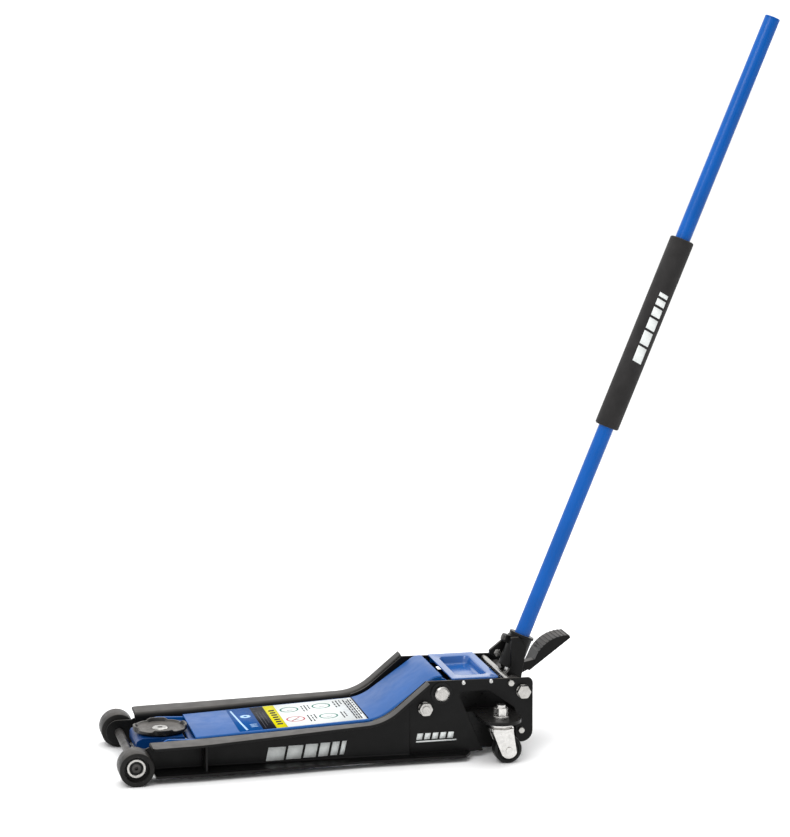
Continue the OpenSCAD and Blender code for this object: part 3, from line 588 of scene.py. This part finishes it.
def sided(name):
    """The node on each side that a name with {side} stands for, or the one node of a plain name."""
    return [name.format(side=side) for side in SIDES] if "{side}" in name else [name]


def rounded_copy(node, edge_mm):
    """A copy of a CAD node with its flat faces merged and its edges rounded."""
    shape = bmesh.new()
    shape.from_mesh(frame["nodes"][node].data)
    bmesh.ops.remove_doubles(shape, verts=shape.verts, dist=0.002 * MM)
    bmesh.ops.dissolve_limit(shape, angle_limit=math.radians(0.4), verts=shape.verts, edges=shape.edges)
    piece = mesh_object(node + "_detail", shape)
    normals = piece.data.attributes.get("custom_normal")
    if normals:
        piece.data.attributes.remove(normals)
    return soften(piece, edge_mm)


# Upper edge of a rail, from its front end to the end of its ramp
RAIL_TOP = [
    (FLANGE_FRONT_MM, 63.4),
    (130, 65.6),
    *fillet((130, 65.6), (437.5, 78), RAMP_END_MM, 95, 10),
    RAMP_END_MM,
]


def flange_edge(x):
    """Distance from the centre plane to the outer edge of a rail flange."""
    corner_x = FLANGE_FRONT_MM + FLANGE_CORNER_MM
    if x < corner_x:
        return FLANGE_WIDE_MM - FLANGE_CORNER_MM + math.sqrt(FLANGE_CORNER_MM**2 - (corner_x - x) ** 2)
    if x > FLANGE_CUT_MM:
        return FLANGE_NARROW_MM - (x - FLANGE_CUT_MM) * math.tan(math.radians(60))
    return FLANGE_WIDE_MM - (FLANGE_WIDE_MM - FLANGE_NARROW_MM) * share(x, *FLANGE_TAPER_MM)


def foot_z(x):
    """Underside of a rail's bottom flange, which falls a little to the rear."""
    return 10.5 - 2 * share(x, WEB_FRONT_MM, 540)


def rail_section(x, sign):
    """Section of a folded rail: first the upper bend and flange, then the web and the lower flange."""
    top, foot, out = height_on(RAIL_TOP, x), foot_z(x), flange_edge(x)
    thick = PLATE_MM + 1.4 * share(x, 410, 470)
    root, inside = RAIL_IN_MM + RAIL_BEND_MM, RAIL_BEND_MM - PLATE_MM
    neck = top - RAIL_BEND_MM - 4
    upper = [(RAIL_OUT_MM, neck), *arc(root, top - RAIL_BEND_MM, inside, 180, 90)]
    upper += [(out, top - thick), (out, top), *arc(root, top - RAIL_BEND_MM, RAIL_BEND_MM, 90, 180)]
    upper.append((RAIL_IN_MM, neck))
    lower = [*arc(root, foot + RAIL_BEND_MM, RAIL_BEND_MM, 180, 270), (out, foot), (out, foot + PLATE_MM)]
    lower += arc(root, foot + RAIL_BEND_MM, inside, 270, 180)
    return ([at(x, sign * y, z) for y, z in points] for points in (upper, lower))


def folded_rail(shape, sign):
    """The front channel: its upper flange alone at both ends, and the whole section between."""
    bends = [x for x, z in RAIL_TOP if 400 < x < RAIL_END_MM]
    front = [FLANGE_FRONT_MM, 28.6, 30, WEB_FRONT_MM]
    middle = [WEB_FRONT_MM, 37, 43, 110, 130, 260, 400, *bends, RAIL_END_MM]
    rear = [RAIL_END_MM, 498, 508, RAMP_END_MM[0]]
    for stations in (front, middle, rear):
        loops = []
        for x in stations:
            upper, lower = rail_section(x, sign)
            loops.append(upper + lower if stations is middle else upper)
        loft(shape, loops, (stations is front, stations is rear))
    for x in (WEB_FRONT_MM, RAIL_END_MM):
        upper, lower = rail_section(x, sign)
        shape.faces.new([shape.verts.new(place) for place in [upper[-1], *lower, upper[0]]])
    bmesh.ops.remove_doubles(shape, verts=shape.verts, dist=0.001 * MM)


def flat_plates(shape, sign):
    """The nose that holds the axle, the rear plate with its caster window, and the lower flange's tail."""
    nose = [(22, 52, 0), (-23, 52, 21), (-23, 8, 21), (30, 9, 0), (35, 12, 0), (35, 54, 0), (26, 54, 0)]
    prism(shape, rounded(nose), sign * (RAIL_IN_MM + 0.1), sign * (RAIL_OUT_MM - 0.1))
    window = [(622.5, 11.4, 0), (576.5, 120, 6), (633, 120, 14), (681, 85, 8), (682.5, 21.2, 0)]
    back = [(690, 23, 0), (REAR_X_MM, 23, 20), (REAR_X_MM, REAR_TOP_MM, 10)]
    rear = rounded([(420, 72, 0), (420, 11.2, 0), (596, 10.6, 0), *window, *back])
    climb = [(x, min(z - 2, REAR_TOP_MM)) for x, z in RAIL_TOP if x > 421]
    prism(shape, rear + climb[::-1], sign * FRAME_HALF_MM, sign * REAR_OUT_MM)
    tail = []
    for x in (RAIL_END_MM, 540, FLANGE_CUT_MM, 597):
        out = flange_edge(x)
        section = [(out, 0), (out, PLATE_MM), (RAIL_IN_MM, PLATE_MM), (RAIL_IN_MM, 0)]
        tail.append([at(x, sign * y, foot_z(x) + z) for y, z in section])
    loft(shape, tail)


def rib_and_welds(shape, sign):
    """The upright rib in the channel with its two beads, and the beads along the rear plate."""
    rib = [(RAIL_OUT_MM, 62), (RAIL_OUT_MM, 13), (138, 13), (138, 62)]
    loft(shape, [[at(x, sign * y, z) for y, z in rib] for x in (120, 124)])
    for x in (119.6, 124.4):
        bead(shape, [at(x, sign * (RAIL_OUT_MM + 0.4), z) for z in (16, 58)], 1.3)
    y = sign * (REAR_OUT_MM + 0.8)
    bead(shape, [at(x, y, z - 2.2) for x, z in RAIL_TOP if x > RAIL_END_MM - 30], 1.4)
    bead(shape, [at(x, y, foot_z(x) + PLATE_MM + 0.4) for x in (492, 520, 560, 592)], 1.4)
    bead(shape, [at(RAIL_END_MM + 0.5, y, z) for z in (24, 60)], 1.2)


def make_side_plate(side):
    """One side of the frame, bent and welded up from plate."""
    shape = bmesh.new()
    for build in (folded_rail, flat_plates, rib_and_welds):
        build(shape, SIDES[side])
    return soften(mesh_object(f"side_plate_{side}_detail", shape), 0.7)


# Upper surface of the arm's cover, from its front edge to the far side of its crest
CREST = arc(*PIVOT_MM, CREST_R_MM, 125, 78, 8)
COVER_PATH = [COVER_START_MM, *fillet(COVER_START_MM, (435.6, 76.1), CREST[0], 85, 10), *CREST]


def make_arm_cover():
    """The folded sheet over the arm, with a small bend along each side."""
    shape = bmesh.new()
    corner, half = 3.2, ARM_HALF_MM
    section = [(-half, -ARM_PLATE_MM), *arc(corner - half, -corner, corner, 180, 90, 4),
               *arc(half - corner, -corner, corner, 90, 0, 4), (half, -ARM_PLATE_MM)]
    loops = []
    for i, (x, z) in enumerate(COVER_PATH):
        before, after = COVER_PATH[max(i - 1, 0)], COVER_PATH[min(i + 1, len(COVER_PATH) - 1)]
        slope = math.atan2(after[1] - before[1], after[0] - before[0])
        loops.append([at(x - d * math.sin(slope), y, z + d * math.cos(slope)) for y, d in section])
    loft(shape, loops)
    return soften(mesh_object("arm_cover_detail", shape), 1.0)


def on_cover(x, y, height):
    """A place at a height above the arm's cover."""
    return at(x, y, height_on(COVER_PATH, x) + height)


def bar_outline(x0, x1, y0, y1, slant=0.0):
    """A bar whose far end is shifted by slant."""
    return [(x0, y0), (x1, y0), (x1 + slant, y1), (x0 + slant, y1)]


def make_label_bands():
    """The warning label's coloured bands, across the arm's cover."""
    # The white panel is in two, because its end lies on the start of the cover's bend
    bands = {
        "ink_blue": (190, 232),
        "ink_black": (232, 256),
        "ink_yellow": (256, 276),
        "ink_white": (276, 411, 418),
    }
    for ink, edges in bands.items():
        shape = bmesh.new()
        for start, end in zip(edges, edges[1:]):
            slab(shape, bar_outline(start, end, -LABEL_HALF_MM, LABEL_HALF_MM), on_cover, PRINT_MM)
        dress(mesh_object("label_" + ink, shape), "lift_arm", ink)


def make_label_marks():
    """What is printed on the bands: plain rings, bars, and dashes where a real label has text."""
    marks = {ink: bmesh.new() for ink in ("ink_black", "ink_grey", "ink_green", "ink_red", "ink_pale")}

    def mark(ink, outline):
        slab(marks[ink], outline, on_cover, MARK_MM)

    mark("ink_black", bar_outline(418, 420.5, -LABEL_HALF_MM, LABEL_HALF_MM))
    for y in range(-54, 50, 15):
        mark("ink_black", bar_outline(260.5, 270.5, y, y + 9, 1.5))
    for i in range(3):
        x = 238 + 5.5 * i
        mark("ink_grey", bar_outline(x, x + 0.8, -68 + 16.5 * i, 40))
    signs = ((298, 36, "ink_green"), (357, 40, "ink_green"), (298, -29, "ink_red"), (357, -30, "ink_green"))
    for x, y, ink in signs:
        ring_slab(marks[ink], x, y, 17, 14.2, on_cover, MARK_MM)
        mark("ink_grey", bar_outline(x - 6, x + 4, y - 5, y - 3.2, 3))
    mark("ink_red", [(286.6, -41.6), (288.6, -42.6), (309.6, -16.4), (307.6, -15.4)])
    # Each row of dashes: its x, and the y where it starts and ends
    rows = (
        (321, 14, 56), (327, 18, 56), (333, 26, 56), (321, -54, -8), (327, -54, -8), (333, -40, -8),
        (381, 20, 66), (387, 24, 66), (393, 38, 66), (381, -52, -10), (387, -44, -10),
        (400, -66, 66), (404.5, -66, 60), (409, -66, 66), (413.5, -40, 66),
    )
    for i, (x, y0, y1) in enumerate(rows):
        dashes = 3 if y1 - y0 < 60 else 7
        step = (y1 - y0) / dashes
        length = step * (0.9 if i % 2 else 0.72)
        for k in range(dashes):
            start = y0 + k * step
            mark("ink_black", bar_outline(x, x + 2.4, start, start + length))
    mark("ink_pale", [(194.5, 64), (198, 66), (203, -20), (207, -66), (203, -70), (199.5, -20)])
    ring_slab(marks["ink_pale"], 216, 20, 9.5, 3.5, on_cover, MARK_MM)
    for y in (-52, -44, -36):
        mark("ink_pale", bar_outline(214, 226, y, y + 2.4, 1.5))
    for ink, shape in marks.items():
        dress(mesh_object("label_marks_" + ink, shape), "lift_arm", ink)


def tapering(count, widest):
    """Widths of a row of plain stripes, each narrower than the last."""
    return [widest * (1 - 0.75 * i / (count - 1)) for i in range(count)]


def make_side_marks(side):
    """Plain slanted bars painted on a rail and on the rear plate."""
    sign = SIDES[side]
    shape = bmesh.new()

    def on_rail(x, z, height):
        return at(x, sign * (RAIL_OUT_MM + height), z)

    def on_plate(x, z, height):
        return at(x, sign * (REAR_OUT_MM + height), z)

    row_start = 231
    start = row_start
    for width in tapering(6, 31):
        z = 17.5 + (start - row_start) * 0.03
        slab(shape, bar_outline(start, start + width, z, z + 24, 5), on_rail, PRINT_MM)
        start += width + STRIPE_GAP_MM
    slab(shape, bar_outline(500, 573, 33, 35.5, 1), on_plate, PRINT_MM)
    for x in range(501, 571, 14):
        slab(shape, bar_outline(x, x + 10, 38, 49, 2.4), on_plate, PRINT_MM)
    dress(mesh_object(f"side_marks_{side}", shape), "frame", "ink_white")


def make_grip_marks():
    """Plain slanted bars printed along the foam grip, in small steps that follow its round."""
    lean = math.radians(HANDLE_DEG)
    up = Vector((math.cos(lean), 0, math.sin(lean)))
    across = Vector((up.z, 0, -up.x))

    def on_grip(u, along, height):
        turn = u / GRIP_R_MM
        out = across * math.sin(turn) - Vector((0, 1, 0)) * math.cos(turn)
        return at(*COLLAR_MM) + (up * along + out * (GRIP_R_MM + height)) * MM

    shape = bmesh.new()
    start = GRIP_FROM_MM + 126
    for width in tapering(6, 29):
        loops = []
        for k in range(13):
            u, lower = -9 + 1.5 * k, start + 2.4 - 0.2 * k
            upper = lower + width
            corners = ((lower, -SUNK_MM), (upper, -SUNK_MM), (upper, 0.15), (lower, 0.15))
            loops.append([on_grip(u, along, height) for along, height in corners])
        loft(shape, loops)
        start += width + STRIPE_GAP_MM
    dress(mesh_object("grip_marks", shape), "handle", "ink_white")


def make_tray():
    """The pressed lid over the hydraulic unit, with its rounded recess and side skirts."""

    def outline(x0, x1, half, corner, z):
        rows = [(x0, -half, corner), (x1, -half, corner), (x1, half, corner), (x0, half, corner)]
        return [at(x, y, z) for x, y in rounded(rows, 8)]

    def recess(grow, corner, z):
        return outline(581 - grow, 637 + grow, 70 + grow, corner, z)

    # How far each ring is outside the recess's walls, its corner radius and its height
    under = ((-1.5, 8, 126.5), (0.5, 10, 127.3), (2.5, 13, 130), (2.8, 13, 141))
    lip = ((2.4, 13, 144), (1.0, 12, 143.6), (0.2, 12, 142.6))
    floor = ((-1.6, 11, 132.5), (-2.6, 10, 130.4), (-4.6, 8.5, 129.2), (-8, 6, 129))
    rim = [outline(567, 651, 92.8, 1.5, z) for z in (141, 144)]
    shape = bmesh.new()
    loft(shape, [recess(*ring) for ring in under] + rim + [recess(*ring) for ring in lip + floor])
    skirt = rounded([(x, z, 3) for x, z in ((571, 128), (647, 128), (647, 142), (571, 142))])
    for sign in SIDES.values():
        prism(shape, skirt, sign * 89.8, sign * 92.7)
    return soften(mesh_object("tray_cover_detail", shape), 0.5, above_deg=40)


def make_saddle():
    """Cast cup: a thin rim with raised lugs and notches round a flat floor."""
    steps = 120
    shape = bmesh.new()

    def lobe(turn, count, bias):
        """0 in the gaps and 1 over each of count lobes, which grow wider with bias."""
        return min(1, max(0, bias + 2.8 * math.cos(count * turn)))

    def ring(radius, height, lobed=0, lugged=0):
        """Places round the axis, pushed out over the rim's lobes and up over its lugs where asked."""
        places = []
        for turn in (math.tau * i / steps for i in range(steps)):
            r = radius + lobed * 1.7 * lobe(turn, 8, 2.1)
            z = height + lugged * 3.4 * lobe(turn, 4, 0.5)
            places.append(at(SADDLE_X_MM + r * math.cos(turn), r * math.sin(turn), z))
        return places

    # Rings from the underside out over the rim, and in to the screw's seat
    profile = (
        (14.5, 56.0), (41, 56.2), (45, 57.6), (45.4, 59, 1), (46, 60.5, 1),
        (46, 63.5, 1, 1), (45.1, 64.4, 1, 1), (42.4, 64.4, 1, 1), (41.6, 63.5, 1, 1), (40, 61.8, 1),
        (38.5, 61.0), (15.6, 60.9), (14.6, 60.2), (14.5, 58.9),
    )
    boss = ((14.9, 53.5), (14.9, 57), (14.4, 58.8))
    loft(shape, [ring(*row) for row in profile], (False, False))
    loft(shape, [ring(*row) for row in boss])
    return soften(mesh_object("saddle_detail", shape), 0.3, above_deg=40)


def make_plunger_springs():
    """The coil behind the head of each plunger."""
    guide_x = 662.1
    for name, y, z, head_x, joint, keep in (
        ("pump_spring", 0, 100.5, 687.1, "handle_pump", 0.47),
        ("pedal_spring", 35, 91, 688.1, "foot_pedal_press", 0.57),
    ):
        shape = bmesh.new()
        coil(shape, at(guide_x + 1.1, y, z), at(head_x - 1.0, y, z), 8.6, 0.85, 5)
        spring = stand_for(mesh_object(name, shape), "plunger_springs", "spring_steel")
        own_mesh(spring)


def make_return_springs():
    """The two long coils between the arm's heel pin and the lower tie rod, with a hook at each end."""
    shape = bmesh.new()
    heel = math.radians(LIFT_DEG / 2)
    front = at(PIVOT_MM[0] + HEEL_ARM_MM * math.sin(heel), 0, PIVOT_MM[1] - HEEL_ARM_MM * math.cos(heel))
    rear = at(LOW_ROD_MM[0], 0, LOW_ROD_MM[1])
    along = (rear - front).normalized()
    for sign in SIDES.values():
        shift = Vector((0, sign * 37 * MM, 0))
        coil(shape, front + shift + along * 15.2 * MM, rear + shift - along * 15.2 * MM, 4.9, 1.0, 40, 10)
        for end, out in ((front, 1), (rear, -1)):
            hook = [end + shift + out * along * d * MM for d in (7.8, 11, 15.5)]
            tube(shape, hook, [1.2 * MM] * 3)
    stand_for(mesh_object("arm_return_springs_detail", shape), "arm_return_springs", "spring_steel")


# Finish and edge rounding, in millimetres, of each CAD node that keeps the design's shape
FINISHES = {
    # The caster brackets, axle retainers and pivot washers take the black of painted shade.
    "caster_bracket_{side}": ("shaded_frame_black", 0.6),
    "front_cross_plate": ("frame_black", 0.6),
    "rear_cross_plate": ("frame_black", 0.6),
    "front_axle": ("dark_steel", 0.5),
    "axle_retainers": ("shaded_frame_black", 0.2),
    "tie_rods": ("zinc_fastener", 0.4),
    "tie_bolts": ("zinc_fastener", 0.35),
    "tray_screws": ("bright_steel", 0.3),
    "pump_body": ("cast_grey", 1.0),
    "hydraulic_reservoir": ("frame_black", 0.8),
    "filler_plug": ("zinc_fastener", 0.4),
    "arm_pivot_shaft": ("zinc_fastener", 0.5),
    "arm_pivot_washers": ("shaded_frame_black", 0.4),
    "levelling_studs": ("zinc_fastener", 0.4),
    "socket_pivot_bolts": ("zinc_fastener", 0.4),
    "pivot_spacers": ("dark_steel", 0.5),
    "caster_studs": ("caster_zinc", 0.4),
    "arm_side_{side}": ("arm_blue", 0.7),
    # The cross plates and the saddle carrier take the blue of painted shade.
    "arm_cross_plates": ("shaded_arm_blue", 0.6),
    "arm_pivot_tube": ("arm_blue", 0.6),
    "arm_heel_plates": ("arm_blue", 0.7),
    "heel_pin": ("bright_steel", 0.5),
    "carrier_pin": ("bright_steel", 0.5),
    "levelling_rods": ("dark_steel", 0.6),
    "saddle_carrier": ("shaded_arm_blue", 0.8),
    "levelling_pin": ("bright_steel", 0.4),
    "saddle_screw": ("zinc_fastener", 0.3),
    "ram_rod": ("bright_steel", 0.6),
    "front_wheel_{side}": ("wheel_nylon", 0.5),
    "hub_ring_{side}": ("zinc_fastener", 0.3),
    "caster_fork_{side}": ("caster_zinc", 0.5),
    "caster_axle_{side}": ("caster_zinc", 0.4),
    "caster_wheel_{side}": ("caster_tyre", 0.5),
    "handle_socket": ("frame_black", 0.8),
    "socket_roller": ("bright_steel", 0.5),
    "socket_stop_bolt": ("zinc_fastener", 0.4),
    "collar_bolt": ("dark_steel", 0.4),
    "handle_lower_tube": ("handle_blue", 0.3),
    "handle_upper_tube": ("handle_blue", 0.3),
    "handle_grip": ("grip_foam", 1.0),
    "handle_cap": ("handle_blue", 0.8),
    "release_key": ("bright_steel", 0.4),
    "release_valve": ("bright_steel", 0.4),
    "foot_pedal": ("frame_black", 0.6),
    "pump_plunger": ("bright_steel", 0.5),
    "pedal_plunger": ("bright_steel", 0.5),
}


make_camera()
make_studio()
materials = make_materials()
bodies = frame["record"]["behaviour"]["bodies"]
node_bodies = {node: body for body, nodes in bodies.items() for node in nodes}

for name, (finish, edge_mm) in FINISHES.items():
    for node in sided(name):
        stand_in = stand_for(rounded_copy(node, edge_mm), node, finish)

for side in SIDES:
    stand_for(make_side_plate(side), f"side_plate_{side}", "frame_black")
    make_side_marks(side)
stand_for(make_arm_cover(), "arm_cover", "arm_blue")
stand_for(make_tray(), "tray_cover", "tray_blue")
stand_for(make_saddle(), "saddle", "saddle_iron")
make_label_bands()
make_label_marks()
make_grip_marks()
make_plunger_springs()
make_return_springs()

bpy.context.view_layer.update()
